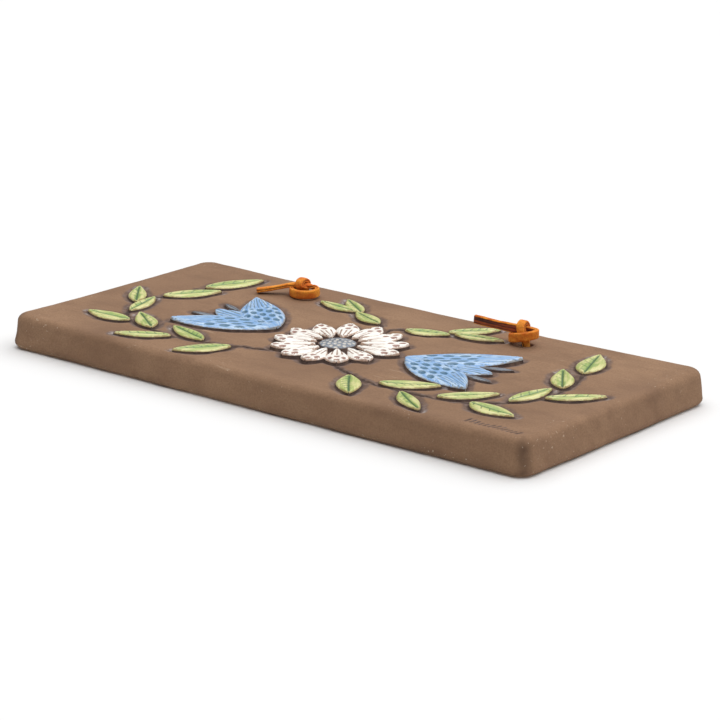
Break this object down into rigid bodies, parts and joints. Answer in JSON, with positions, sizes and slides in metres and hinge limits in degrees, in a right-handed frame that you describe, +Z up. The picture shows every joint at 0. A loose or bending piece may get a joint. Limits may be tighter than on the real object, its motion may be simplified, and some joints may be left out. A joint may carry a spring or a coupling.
{
  "type": "decorative wall plaque",
  "caption": "Long stoneware wall plaque with rounded edges and a glazed flower and leaf relief, hung by a knotted leather lace.",
  "frame": {"origin": "on the plane of the wall, in the middle of the plaque's length, where the nail bears on the lace", "axes": "+X to the right along the plaque's length, +Z up, +Y into the wall; the relief faces -Y"},
  "size_m": [0.42, 0.0375, 0.195],
  "materials": {
    "stoneware": "matt, unglazed, with glazed relief",
    "lace_leather": "suede, worn edges"
  },
  "bodies": {
    "root": {"plaque": "stoneware", "lace": "lace_leather"}
  },
  "joints": []
}
